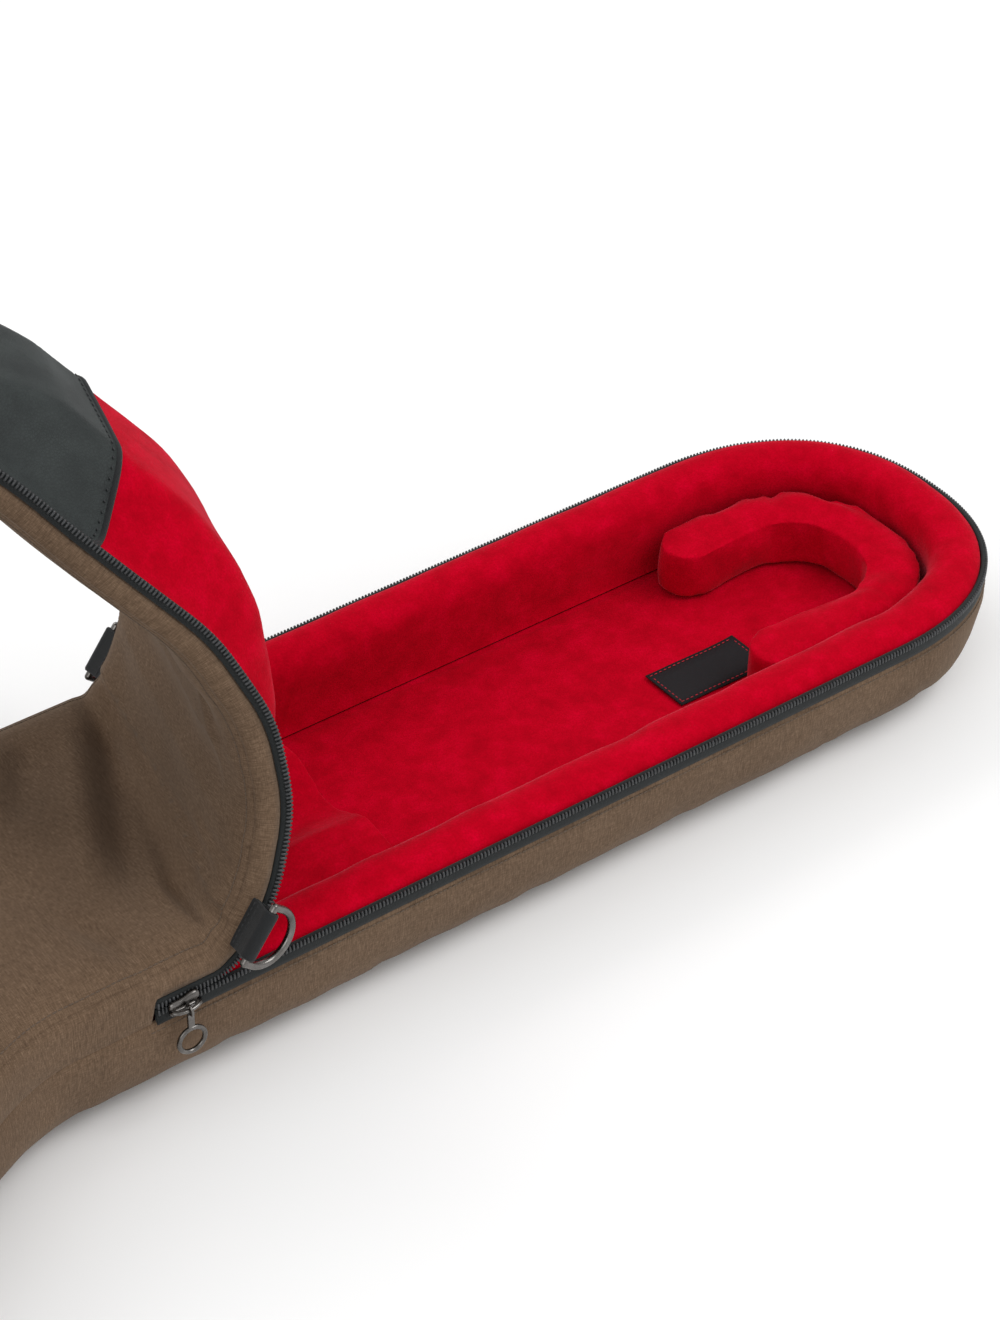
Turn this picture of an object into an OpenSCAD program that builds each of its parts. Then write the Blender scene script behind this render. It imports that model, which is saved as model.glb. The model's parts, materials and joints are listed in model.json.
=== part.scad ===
// Padded gig bag for a bass, lying on its back, with the neck lid unzipped and folded back.
// X runs from the tail to the head end, Y to the far side, Z up.
// The origin is on the underside, in the middle of the bag's length and width.

/* [Bag] */
// Outside length, tail to head end
bag_length = 1264; // [1220:2:1300]
// Half of the outside width of the neck section
neck_half = 98; // [94:1:104]
// Half of the outside width at the upper bout
upper_half = 194; // [184:1:204]
// Half of the outside width at the lower bout
lower_half = 212; // [204:1:222]
// Radius of the rounded lower edge
edge_r = 36; // [30:1:40]
// Height of the zipper line above the ground
zip_z = 62; // [60:1:68]
// Height of the lid above the zipper line
lid_depth = 28; // [26:1:32]
// Thickness of the padded walls
wall = 28; // [26:1:30]
// Thickness of the padded floor
floor_z = 22; // [20:1:24]

/* [Lid folds] */
// Where the first fold crosses the centre line
fold_x = 152; // [146:1:158]
// Turn of the folds away from straight across, far side towards the head
fold_skew = 15; // [0:1:16]
// Distance of each fold from the first one
fold_at = [0, 38, 80, 122, 170, 300]; // [0:1:320]
// Angle that the lid turns through at each fold, in degrees
fold_turn = [50, 22, 22, 22, 17, 18]; // [0:1:50]

/* [Zippers] */
// Height of the tape on each side of the zipper line
tape_h = 9; // [7:1:11]
// Where the opening zipper starts, measured along the bag
zip_start = 82; // [70:1:90]
// Place of the near slider along the bag
near_slider_x = 95; // [94:1:100]
// Place of the far slider along the bag
far_slider_x = 182; // [178:1:190]
// Outer radius of a slider's ring pull
pull_r = 8; // [6:0.5:9]

/* [Rings] */
// Inside radius of a D-ring
ring_r = 12.5; // [10:0.5:14]
// Radius of the D-ring's wire
wire_r = 1.9; // [1.5:0.1:2.2]
// Width of the webbing tab that holds a D-ring
tab_w = 24; // [20:1:25]
// Distance of the near and the forward far tab from the first fold, along the lid's edge
tab_at = 21; // [20:1:22]
// Place of the rear far tab along the bag
rear_tab_x = 150; // [140:1:155]
// Height of the rear far tab's bar
rear_tab_z = 56; // [52:1:58]
// Turn of the two rings on the lid about their bars, so that they hang plumb
ring_hang = 17; // [0:1:20]

/* [Inside] */
// Width of the headstock bolster's arms
bolster_w = 33; // [28:1:36]
// Height of the bolster above the floor
bolster_h = 30; // [24:1:34]
// Where the bolster's near arm ends
near_arm_x = 468; // [455:1:480]
// Where the bolster's far arm ends
far_arm_x = 488; // [480:1:500]
// Length of the neck cradle
cradle_l = 116; // [90:1:120]
// Head end of the neck cradle
cradle_x = 246; // [240:1:250]
// Height of the neck cradle above the floor
cradle_h = 22; // [16:1:24]
// Length and width of the label on the floor
label_size = [58, 30]; // [24:1:60]
// Place of the label's middle
label_at = [466, -17]; // [-20:1:470]
// Start of the wear panel under the lid, measured from the first fold
panel_at = 216; // [205:1:230]

/* [Outside] */
// Length and width of the front pocket
pocket_size = [330, 270]; // [240:5:340]
// Thickness of the filled front pocket
pocket_h = 18; // [12:1:22]
// Middle of the front pocket along the bag
pocket_x = -330; // [-345:5:-320]
// Distance between the ends of the carry handle
handle_l = 160; // [140:5:170]
// Middle of the carry handle along the bag
handle_x = -240; // [-250:5:-235]
// Length and width of a stowed shoulder strap
strap_size = [420, 62]; // [50:2:440]

/* [Hidden] */
skin = 2;                       // outer fabric and its backing
gap = 0.4;                      // clearance between neighbouring bodies
ease_gap = 0.3;                 // clearance between the layers of one body
foam_in = 24;                   // inner face of the wall foam
strip_z = zip_z + tape_h;       // foot of the lid's side strip
lid_top = zip_z + lid_depth;
crown_h = 4;                    // rise of the padded crown inside the zipper
pad_z = zip_z + 8;              // underside of the lid's foam
lining_z = pad_z - 0.5;         // underside of the lid's lining, clear of the crown
head_x = bag_length / 2;
tail_x = -bag_length / 2;
head_round = 110;               // length of the rounded head end
tail_round = 150;               // length of the rounded tail end
roundness = 2.3;                // 2 is an ellipse, more is squarer
shoulder_x = 40;                // where the neck starts to flare
shoulder_len = 190;
waist_x = -330;
waist_len = 130;
folds = len(fold_at);
fold_dir = [sin(fold_skew), cos(fold_skew), 0];
first_fold = fold_x * cos(fold_skew);
wedge_lean = 1.08;              // the gaps at the folds are this much wider than the turn needs
big = 2000;
$fn = 48;

LID = [for (i = [1:folds], part = ["shell", "pad", "tape"]) str("lid_", i, "_", part)];

// ---------- outline of the bag, seen from above ----------

function ease(t) = let (u = min(max(t, 0), 1)) u * u * (3 - 2 * u);

function half_width(x) =
    neck_half
    + (upper_half - neck_half) * ease((shoulder_x - x) / shoulder_len)
    + (lower_half - upper_half) * ease((waist_x - x) / waist_len);

function round_end(x0, length, half, t) =
    [x0 + length * pow(cos(t), 2 / roundness), half * pow(sin(t), 2 / roundness)];

// Points of one side, from the head end's tip to the tail's
side_points = concat(
    [for (t = [0, 4, 11, 20, 30, 40, 50, 60, 70, 80, 90])
        round_end(head_x - head_round, head_round, neck_half, t)],
    [for (x = [480, 400, 300, 200, 120, 40]) [x, neck_half]],
    [for (x = [20:-20:-150]) [x, half_width(x)]],
    [for (x = [-190, -240, -290, -330, -355, -380, -405, -430, -455]) [x, half_width(x)]],
    [for (t = [90, 80, 70, 60, 50, 40, 30, 20, 11, 4, 0])
        let (p = round_end(0, tail_round, lower_half, t)) [tail_x + tail_round - p[0], p[1]]]);

side_count = len(side_points);
outline_points = concat(side_points, [for (i = [side_count - 2:-1:1]) [side_points[i][0], -side_points[i][1]]]);
outline_count = len(outline_points);

function outline_normal(i) =
    let (a = outline_points[(i + outline_count - 1) % outline_count],
         b = outline_points[(i + 1) % outline_count],
         d = (b - a) / norm(b - a))
    [d[1], -d[0]];

// The outline moved inwards by depth
function outline(depth) =
    [for (i = [0:outline_count - 1]) outline_points[i] - depth * outline_normal(i)];

// ---------- building blocks ----------

// A closed band that follows the outline; section is a list of [depth, height]
module band(section) {
    rings = [for (s = section) outline(s[0])];
    n = outline_count;
    m = len(section);
    points = [for (k = [0:m - 1], i = [0:n - 1]) [rings[k][i][0], rings[k][i][1], section[k][1]]];
    faces = [for (k = [0:m - 1], i = [0:n - 1], half = [0, 1])
        let (a = k * n + i,
             b = k * n + (i + 1) % n,
             c = ((k + 1) % m) * n + (i + 1) % n,
             d = ((k + 1) % m) * n + i)
        half == 0 ? [a, b, c] : [a, c, d]];
    polyhedron(points, faces);
}

// A flat plate inside the outline
module plate(depth, low, high) {
    translate([0, 0, low]) linear_extrude(high - low) polygon(outline(depth));
}

// A straight-walled ring between two depths
module ring_wall(outer, inner, low, high) {
    translate([0, 0, low]) linear_extrude(high - low) difference() {
        polygon(outline(outer));
        polygon(outline(inner));
    }
}

// Everything with x above the given value
module ahead_of(x) {
    translate([x, -big / 2, -big / 2]) cube(big);
}

module behind(x) {
    translate([x - big, -big / 2, -big / 2]) cube(big);
}

// Slanted end faces leave room for the lid to turn at each fold
function lean(i) = tan(wedge_lean * fold_turn[i] / 2) * lid_depth;

// The slice of the lid between fold i and the next one; slice -1 is the fixed front
module slice(i) {
    start = i < 0 ? -big : fold_at[i] + gap;
    end = i == folds - 1 ? big : fold_at[i + 1] - gap;
    start_lean = i < 0 ? 0 : lean(i);
    end_lean = i == folds - 1 ? 0 : lean(i + 1);
    rotate([0, 0, -fold_skew]) translate([first_fold, 0, zip_z]) rotate([90, 0, 0])
        linear_extrude(big, center = true)
            polygon([[start, -lid_depth], [end, -lid_depth], [end, 0], [end - end_lean, lid_depth],
                     [start + start_lean, lid_depth], [start, 0]]);
}

// One fold: the lid turns back about a line on the zipper's height
module turned(i) {
    along = first_fold + fold_at[i];
    at = [along * cos(fold_skew), -along * sin(fold_skew), zip_z];
    translate(at) rotate(a = -fold_turn[i], v = fold_dir) translate(-at) children();
}

// Carries a piece of the flat lid through its first n folds
module folded(n) {
    if (n == 0) children();
    else folded(n - 1) turned(n - 1) children();
}

// The layers of the lid and of the fixed front, as one flat piece
module outer_layer() {
    difference() {
        plate(0, strip_z + ease_gap, lid_top);
        plate(skin, strip_z - 1, lid_top - skin);
    }
}

module pad_layer() {
    plate(skin + ease_gap, pad_z, lid_top - skin - ease_gap);
    plate(wall + 2, lining_z, pad_z);
}

module tape_layer() {
    ring_wall(0, 1.5, zip_z + gap, strip_z);
    ring_wall(-1.2, 0, zip_z + gap, zip_z + 2.4);
}

// ---------- tray ----------

arc_steps = [0:18:90];

module back_panel() {
    color("tan") plate(edge_r + ease_gap, 0, skin);
}

strap_x = -150 - strap_size[0] / 2;   // middle of a stowed strap along the bag
strap_y = 70;                         // and from the bag's middle line
strap_z = skin + 3.5;
strap_h = 6.4;

module strap_block(side, spare) {
    translate([strap_x, side * strap_y, strap_z])
        cube([strap_size[0] + spare, strap_size[1] + spare, strap_h + spare / 2], center = true);
}

module back_foam() {
    color("dimgray") difference() {
        plate(edge_r + 2 * ease_gap, skin + ease_gap, floor_z - 4);
        for (side = [-1, 1]) strap_block(side, 2);
    }
}

module floor_lining() {
    color("crimson") plate(wall + ease_gap, floor_z - 4 + ease_gap, floor_z);
}

module side_gusset() {
    r = edge_r;
    t = edge_r - skin;
    outside = [for (a = arc_steps) [r - r * sin(a), r - r * cos(a)]];
    inside = [for (a = arc_steps) [r - t * sin(a), r - t * cos(a)]];
    color("tan") band(concat(outside, [[0, zip_z - tape_h], [skin, zip_z - tape_h]],
                             [for (i = [len(inside) - 1:-1:0]) inside[i]]));
}

module side_foam() {
    r = edge_r;
    t = edge_r - skin - ease_gap;
    outside = [for (a = arc_steps) [r - t * sin(a), r - t * cos(a)]];
    color("dimgray") band(concat(outside, [[skin + ease_gap, zip_z - 1], [foam_in, zip_z - 1],
                                           [foam_in, floor_z - 4], [r, floor_z - 4]]));
}

module wall_lining() {
    top = zip_z + crown_h;
    foot = zip_z - 1 + ease_gap;
    color("crimson") band([[3, foot], [5, top - 2.5], [9, top - 0.8], [14, top], [20, top - 0.6],
                           [25, top - 2.5], [wall, zip_z - 2], [wall, floor_z - 4 + ease_gap],
                           [foam_in + ease_gap, floor_z - 4 + ease_gap], [foam_in + ease_gap, foot]]);
}

module tray_tape() {
    color("black") intersection() {
        ring_wall(0, 1.5, zip_z - tape_h + ease_gap, zip_z - gap / 2);
        ahead_of(zip_start);
    }
}

module tray_teeth() {
    color("dimgray") intersection() {
        ring_wall(-1.2, -0.1, zip_z - 2.4, zip_z - gap / 2);
        ahead_of(zip_start);
    }
}

// ---------- fixed front over the body ----------

module front_gusset() {
    color("tan") intersection() {
        ring_wall(0, skin, zip_z - tape_h + ease_gap, strip_z);
        behind(zip_start - ease_gap);
    }
}

module front_shell() {
    color("tan") intersection() {
        outer_layer();
        slice(-1);
    }
}

module front_foam() {
    color("dimgray") intersection() {
        plate(skin + ease_gap, pad_z, lid_top - skin - ease_gap);
        slice(-1);
    }
}

module front_lining() {
    color("crimson") intersection() {
        plate(wall + 2, zip_z + 2, pad_z - ease_gap);
        slice(-1);
    }
}

module stowed_strap(side) {
    color("black") strap_block(side, 0);
}

module pocket() {
    corner = 30;
    color("tan") translate([pocket_x, 0, lid_top + ease_gap]) for (layer = [[0, pocket_h - 5], [3, pocket_h]])
        linear_extrude(layer[1]) hull() for (x = [-1, 1], y = [-1, 1])
            translate([x * (pocket_size[0] / 2 - corner), y * (pocket_size[1] / 2 - corner)])
                circle(corner - layer[0], $fn = 32);
}

pocket_top = lid_top + ease_gap + pocket_h;
pocket_zip_x = pocket_x + pocket_size[0] / 2 - 38;

module pocket_zipper() {
    color("black") translate([pocket_zip_x, 0, pocket_top + 0.5]) {
        cube([24, pocket_size[1] - 44, 1], center = true);
        translate([0, 0, 0.9]) cube([5, pocket_size[1] - 48, 1.4], center = true);
    }
}

// ---------- carry handle on the far side ----------

handle_wall_y = half_width(handle_x);
handle_z = 46;                       // height of the handle's stitched ends
handle_foot_y = handle_wall_y + 6.6; // the webbing bends about this line
handle_out = 38;                     // reach of the grip from that line
handle_drop = 10;                    // how far the grip droops below its ends
grip_r = 10;
grip_l = handle_l - 60;

module handle_patches() {
    color("black") for (side = [-1, 1])
        translate([handle_x + side * handle_l / 2, handle_wall_y + 2, handle_z - 5])
            cube([36, 2.4, 24], center = true);
}

module handle_strap() {
    color("black") for (side = [-1, 1]) hull() {
        translate([handle_x + side * handle_l / 2, handle_foot_y, handle_z]) cube([25, 3, 5], center = true);
        translate([handle_x + side * (grip_l / 2 + ease_gap + 7), handle_foot_y + handle_out, handle_z - handle_drop])
            cube([14, 3, 5], center = true);
    }
}

module handle_grip() {
    color("dimgray") translate([handle_x, handle_foot_y + handle_out, handle_z - handle_drop])
        rotate([0, 90, 0]) cylinder(h = grip_l, r = grip_r, center = true);
}

// ---------- lid, cut at its folds ----------

module lid_shell(i) {
    color("tan") folded(i) intersection() {
        outer_layer();
        slice(i - 1);
    }
}

module lid_pad(i) {
    color("crimson") folded(i) intersection() {
        pad_layer();
        slice(i - 1);
    }
}

module lid_tape(i) {
    color("black") folded(i) intersection() {
        tape_layer();
        slice(i - 1);
    }
}

// Leather-like panel sewn under the lid's head end
module wear_panel(i) {
    color("darkslategray") folded(i) intersection() {
        plate(wall + 10, lining_z - ease_gap - 1.5, lining_z - ease_gap);
        rotate([0, 0, -fold_skew]) ahead_of(first_fold + panel_at);
        slice(i - 1);
    }
}

// ---------- sliders and pulls ----------

bar_stand = 5.8;      // height of a slider's bar above its foot
bar_r = 1;
eye_r = 2.4;          // middle radius of the pull's eye, round the bar
slider_z = zip_z - 1.6;
slider_y = neck_half + 2.2;
pocket_slider_y = 92;
pocket_pull_tip = 13;  // the pull rests on the pocket's zipper tape

// Slider lying on its back: the zipper runs along X, and the bar stands up in Z
module slider_body() {
    color("silver") {
        for (end = [-1, 1]) translate([end * 5, 0, 0]) cylinder(h = 2.2, r = 5);
        translate([-5, -5, 0]) cube([10, 10, 2.2]);
        for (end = [-1, 1]) translate([end * 7, 0, 0]) cylinder(h = bar_stand + bar_r, r = 1.4);
        translate([-7, 0, bar_stand]) rotate([0, 90, 0]) cylinder(h = 14, r = bar_r);
    }
}

// Pull whose eye goes round the bar; it lies towards -Y, tipped down by tip
module pull_body(tip) {
    start = eye_r - 0.3;
    color("silver") translate([0, 0, bar_stand]) rotate([tip, 0, 0]) {
        rotate([0, 90, 0]) rotate_extrude() translate([eye_r, 0]) circle(0.7, $fn = 20);
        translate([-1.6, -start - 9, -0.7]) cube([3.2, 9, 1.4]);
        translate([0, -start - 9 - pull_r + 1.4, 0]) rotate_extrude()
            translate([pull_r - 1.2, 0]) circle(1.2, $fn = 20);
    }
}

module on_near_side() {
    translate([near_slider_x, -slider_y, slider_z]) rotate([90, 0, 0]) children();
}

module on_far_side() {
    translate([far_slider_x, slider_y, slider_z]) rotate([90, 0, 180]) children();
}

module on_pocket() {
    translate([pocket_zip_x, pocket_slider_y, pocket_top + 2.4]) rotate([0, 0, 90]) children();
}

// ---------- D-rings and their tabs ----------

ring_out = 15;        // how far the ring's bar stands off the lid
ring_z = strip_z + 1; // height of the bar on the flat lid

// Folded webbing from the bag's side out round the ring's bar
module tab(x, side, z) {
    y0 = side * (neck_half + ease_gap);
    color("black") translate([x, 0, z]) difference() {
        hull() {
            translate([0, y0 + side * 0.8, -1]) cube([tab_w, 1.6, 8], center = true);
            translate([0, side * (neck_half + ring_out), 0]) rotate([0, 90, 0])
                cylinder(h = tab_w, r = wire_r + 2, center = true, $fn = 32);
        }
        translate([0, side * (neck_half + ring_out), 0]) rotate([0, 90, 0])
            cylinder(h = tab_w + 2, r = wire_r + 0.35, center = true, $fn = 32);
    }
}

// Straight bar in the tab, half-round wire hanging below it
module d_ring() {
    bend = ring_r + wire_r;
    rotate([0, 90, 0]) cylinder(h = 2 * bend, r = wire_r, center = true, $fn = 24);
    for (end = [-1, 1]) translate([end * bend, 0, 0]) {
        sphere(wire_r, $fn = 24);
        translate([0, 0, -6]) cylinder(h = 6, r = wire_r, $fn = 24);
    }
    translate([0, 0, -6]) rotate([-90, 0, 0]) rotate_extrude(angle = 180)
        translate([bend, 0]) circle(wire_r, $fn = 24);
}

// Distance along the bag of a point on the lid's edge, from its distance to the first fold
function edge_x(at, side) = (first_fold + at + side * neck_half * sin(fold_skew)) / cos(fold_skew);

module ring_at(x, side, z, hang) {
    color("silver") translate([x, side * (neck_half + ring_out), z]) rotate([hang, 0, 0]) d_ring();
}

near_tab_x = edge_x(tab_at, -1);
forward_tab_x = edge_x(tab_at, 1);

// ---------- padding inside the neck ----------

module headstock_bolster() {
    side_in = wall + ease_gap + 1;
    color("crimson") translate([0, 0, floor_z + gap]) {
        linear_extrude(bolster_h) intersection() {
            difference() {
                polygon(outline(side_in));
                polygon(outline(side_in + bolster_w));
            }
            union() {
                translate([near_arm_x + bolster_w / 2, -big]) square(big);
                translate([far_arm_x + bolster_w / 2, 0]) square(big);
            }
        }
        arm_y = neck_half - side_in - bolster_w / 2;
        translate([near_arm_x + bolster_w / 2, -arm_y]) cylinder(h = bolster_h, r = bolster_w / 2);
        translate([far_arm_x + bolster_w / 2, arm_y]) cylinder(h = bolster_h, r = bolster_w / 2);
    }
}

module neck_cradle() {
    half = neck_half - wall - 1.4;
    corner = 16;
    color("crimson") translate([cradle_x - cradle_l, 0, floor_z + gap]) difference() {
        linear_extrude(cradle_h) hull() {
            translate([4, -half]) square([4, 2 * half]);
            for (y = [-1, 1]) translate([cradle_l - corner, y * (half - corner)]) circle(corner);
        }
        translate([-1, 0, cradle_h + 26]) rotate([0, 90, 0]) cylinder(h = cradle_l + 2, r = 36);
    }
}

module floor_label() {
    color("black") translate([label_at[0], label_at[1], floor_z + 0.2 + 0.4])
        cube([label_size[0], label_size[1], 0.8], center = true);
}

// ---------- assembly ----------

back_panel();
back_foam();
floor_lining();
side_gusset();
side_foam();
wall_lining();
tray_tape();
tray_teeth();
front_gusset();
front_shell();
front_foam();
front_lining();
stowed_strap(1);  // strap_left
stowed_strap(-1);  // strap_right
floor_label();
pocket();
pocket_zipper();
handle_patches();
handle_strap();
handle_grip();
for (i = [1:folds]) {
    lid_shell(i);
    lid_pad(i);
    lid_tape(i);
}
wear_panel(folds - 1);  // wear_panel_rear
wear_panel(folds);  // wear_panel_head
on_near_side() slider_body();  // near_slider
on_near_side() pull_body(0);  // near_pull
on_far_side() slider_body();  // far_slider
on_far_side() pull_body(0);  // far_pull
on_pocket() slider_body();  // pocket_slider
on_pocket() pull_body(pocket_pull_tip);  // pocket_pull
folded(1) tab(near_tab_x, -1, ring_z);  // near_tab
folded(1) ring_at(near_tab_x, -1, ring_z, ring_hang);  // near_ring
folded(1) tab(forward_tab_x, 1, ring_z);  // forward_tab
folded(1) ring_at(forward_tab_x, 1, ring_z, ring_hang);  // forward_ring
tab(rear_tab_x, 1, rear_tab_z);  // rear_tab
ring_at(rear_tab_x, 1, rear_tab_z, 0);  // rear_ring
headstock_bolster();
neck_cradle();
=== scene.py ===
import json
import math

import bmesh
import bpy
import numpy as np
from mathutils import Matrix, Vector


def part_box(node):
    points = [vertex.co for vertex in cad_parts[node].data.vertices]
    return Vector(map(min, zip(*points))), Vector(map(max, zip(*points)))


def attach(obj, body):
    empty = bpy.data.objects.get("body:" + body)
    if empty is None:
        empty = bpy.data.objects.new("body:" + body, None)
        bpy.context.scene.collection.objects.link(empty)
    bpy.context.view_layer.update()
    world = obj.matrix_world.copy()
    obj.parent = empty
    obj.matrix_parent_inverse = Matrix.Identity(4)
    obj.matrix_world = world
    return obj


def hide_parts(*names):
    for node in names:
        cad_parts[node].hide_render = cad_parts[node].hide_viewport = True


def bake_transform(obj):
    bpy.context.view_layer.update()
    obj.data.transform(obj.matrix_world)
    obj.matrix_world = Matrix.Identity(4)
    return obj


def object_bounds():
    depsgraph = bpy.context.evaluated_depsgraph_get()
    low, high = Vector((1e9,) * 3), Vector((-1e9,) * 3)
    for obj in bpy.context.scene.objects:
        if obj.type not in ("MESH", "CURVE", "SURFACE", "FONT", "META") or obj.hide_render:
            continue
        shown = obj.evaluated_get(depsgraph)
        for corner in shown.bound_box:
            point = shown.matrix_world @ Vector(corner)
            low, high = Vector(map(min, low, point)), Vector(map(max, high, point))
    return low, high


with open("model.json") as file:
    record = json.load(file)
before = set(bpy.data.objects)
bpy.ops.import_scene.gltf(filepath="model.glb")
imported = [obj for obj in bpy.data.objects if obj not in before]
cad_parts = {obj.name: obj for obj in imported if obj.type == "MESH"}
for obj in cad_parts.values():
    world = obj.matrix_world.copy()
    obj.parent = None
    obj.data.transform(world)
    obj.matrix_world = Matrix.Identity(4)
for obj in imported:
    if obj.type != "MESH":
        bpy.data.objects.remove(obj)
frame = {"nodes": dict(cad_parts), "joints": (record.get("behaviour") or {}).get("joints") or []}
cad_low, cad_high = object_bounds()

# Lengths are millimetres; the camera, the lights and mesh data are in metres.
MM = 0.001
UP = np.array([0.0, 0.0, 1.0])

# ---------- sizes: those of the CAD model ----------

HEAD_X = round(cad_high.x / MM)
TAIL_X = round(cad_low.x / MM)
HEAD_ROUND, TAIL_ROUND, ROUNDNESS = 110, 150, 2.3
NECK_HALF, UPPER_HALF, LOWER_HALF = 98, 194, 212
SHOULDER_X, SHOULDER_LEN = 40, 190
WAIST_X, WAIST_LEN = -330, 130
EDGE_R = 36
ZIP_Z = 62
LID_TOP = 90
TOOTH = (3.4, 0.72, 0.9)                              # length, half-width and half-thickness
FLOOR_Z = 22
ZIP_START = 82

folds = [j for j in frame["joints"] if j["name"].startswith("lid_fold")]
AXIS = np.array(folds[0]["axis"])
ACROSS = np.cross(AXIS, UP)
fold_points = np.array([j["pos_m"] for j in folds]) / MM
FIRST = fold_points[0] @ ACROSS
AT = np.concatenate([[0], np.cumsum(np.linalg.norm(np.diff(fold_points, axis=0), axis=1))])
TURN = np.radians([j["range_deg"][1] for j in folds])
FRONT_END = -24                                       # the lid bends from here, before the first fold
LAST_END = 360                                        # the last fold bends as if the lid ended here
LIMITS = np.concatenate([[FRONT_END], (AT[:-1] + AT[1:]) / 2])   # where one lid piece meets the next
REACH = np.minimum(AT - LIMITS, np.append(LIMITS[1:], LAST_END) - AT)   # half of a fold's bending length


# ---------- outline ----------

def smooth(t):
    t = np.clip(t, 0, 1)
    return t * t * (3 - 2 * t)


def unit(vectors):
    return vectors / np.linalg.norm(vectors, axis=1)[:, None]


def tangents(loop):
    """Unit directions along a closed loop of points."""
    return unit(np.roll(loop, -1, 0) - np.roll(loop, 1, 0))


def half_width(x):
    body = (NECK_HALF + (UPPER_HALF - NECK_HALF) * smooth((SHOULDER_X - x) / SHOULDER_LEN)
            + (LOWER_HALF - UPPER_HALF) * smooth((WAIST_X - x) / WAIST_LEN))
    into_head = np.clip((x - HEAD_X + HEAD_ROUND) / HEAD_ROUND, 0, 1)
    into_tail = np.clip((TAIL_X + TAIL_ROUND - x) / TAIL_ROUND, 0, 1)
    ends = (1 - into_head ** ROUNDNESS) * (1 - into_tail ** ROUNDNESS)
    return body * ends ** (1 / ROUNDNESS)


def even_points(points, count):
    """count + 1 points spread evenly along a polyline."""
    steps = np.linalg.norm(np.diff(points, axis=0), axis=1)
    s = np.concatenate([[0], np.cumsum(steps)])
    places = np.linspace(0, s[-1], count + 1)
    return np.stack([np.interp(places, s, points[:, i]) for i in range(points.shape[1])], -1)


def outline(count):
    """Even points round the bag and their outward normals, from the head end's tip by the far side."""
    t = np.linspace(0, math.pi / 2, 300)
    c, s = np.clip(np.cos(t), 0, 1) ** (2 / ROUNDNESS), np.sin(t) ** (2 / ROUNDNESS)
    head = np.stack([HEAD_X - HEAD_ROUND + HEAD_ROUND * c, NECK_HALF * s], -1)
    x = np.linspace(HEAD_X - HEAD_ROUND, TAIL_X + TAIL_ROUND, 1500)[1:-1]
    tail = np.stack([TAIL_X + TAIL_ROUND - TAIL_ROUND * c, LOWER_HALF * s], -1)[::-1]
    far = even_points(np.concatenate([head, np.stack([x, half_width(x)], -1), tail]), count // 2)
    points = np.concatenate([far, (far * [1, -1])[-2:0:-1]])
    along = tangents(points)
    return points, np.stack([along[:, 1], -along[:, 0]], -1)


def centre_line(x):
    """Where each outline point's column meets the bag's middle line."""
    head_at, head_length, tail_at, tail_length = 400, 145, -380, 60
    toward_head = np.clip((x - head_at) / (HEAD_X - head_at), 0, 1)
    toward_tail = np.clip((tail_at - x) / (tail_at - TAIL_X), 0, 1)
    inner = np.where(x < tail_at, tail_at - tail_length * toward_tail, x)
    return np.where(x > head_at, head_at + head_length * toward_head, inner)


def edge_depth(x, y):
    """Distance inwards from the outline, near enough for a padded surface."""
    ratio = np.clip(np.abs(x - HEAD_X + HEAD_ROUND) / HEAD_ROUND, 0, None) ** ROUNDNESS
    ratio = (ratio + (np.abs(y) / NECK_HALF) ** ROUNDNESS) ** (1 / ROUNDNESS)
    tail = np.clip((TAIL_X + TAIL_ROUND - x) / TAIL_ROUND, 0, None) ** ROUNDNESS
    tail = (tail + (np.abs(y) / LOWER_HALF) ** ROUNDNESS) ** (1 / ROUNDNESS)
    side = half_width(x) - np.abs(y)
    side = np.where(x < TAIL_X + TAIL_ROUND, (1 - tail) * TAIL_ROUND, side)
    return np.where(x > HEAD_X - HEAD_ROUND, (1 - ratio) * NECK_HALF, side)


def ripple(x, y, size, seed=0):
    """Soft irregular waves between about -1 and 1, of the given size."""
    rng = np.random.default_rng(seed)
    total = np.zeros(np.broadcast(x, y).shape)
    for k in range(6):
        angle, phase = rng.uniform(0, 2 * math.pi), rng.uniform(0, 2 * math.pi)
        scale = rng.uniform(0.7, 1.6)
        across = x * math.cos(angle) + y * math.sin(angle)
        total = total + np.sin(across * scale * 2 * math.pi / size + phase)
    return total / 3


# ---------- mesh helpers ----------

def box_of(node):
    """Low and high corners of a CAD node."""
    return (np.array(corner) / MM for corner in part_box(node))


def placed(name, data):
    """A new object in the scene."""
    item = bpy.data.objects.new(name, data)
    bpy.context.scene.collection.objects.link(item)
    return item


def dress(mesh, material, flat):
    """Smooth shading, a material, and each point's place before it was bent, for the weave."""
    mesh.polygons.foreach_set("use_smooth", [True] * len(mesh.polygons))
    mesh.materials.clear()
    mesh.materials.append(material)
    attribute = mesh.attributes.get("flat") or mesh.attributes.new("flat", "FLOAT_VECTOR", "POINT")
    attribute.data.foreach_set("vector", flat.astype(np.float32).ravel())


def make_mesh(name, points, faces, material, flat=None, normals=None):
    mesh = bpy.data.meshes.new(name)
    mesh.from_pydata((np.asarray(points) * MM).tolist(), [], [list(map(int, f)) for f in faces])
    mesh.validate()
    dress(mesh, material, np.asarray(points if flat is None else flat) * MM)
    if normals is not None:
        mesh.normals_split_custom_set_from_vertices(normals.tolist())
    return placed(name, mesh)


def fitted(piece, body, nodes=()):
    """The body that a piece rides, and the CAD nodes that it replaces."""
    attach(piece, body)
    if nodes:
        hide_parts(*nodes)


def grid_faces(rows, columns, closed=True):
    """Quads between consecutive rows of points."""
    faces = []
    for r in range(rows - 1):
        for c in range(columns if closed else columns - 1):
            a, b = r * columns + c, r * columns + (c + 1) % columns
            faces.append((a, b, b + columns, a + columns))
    return faces


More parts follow.
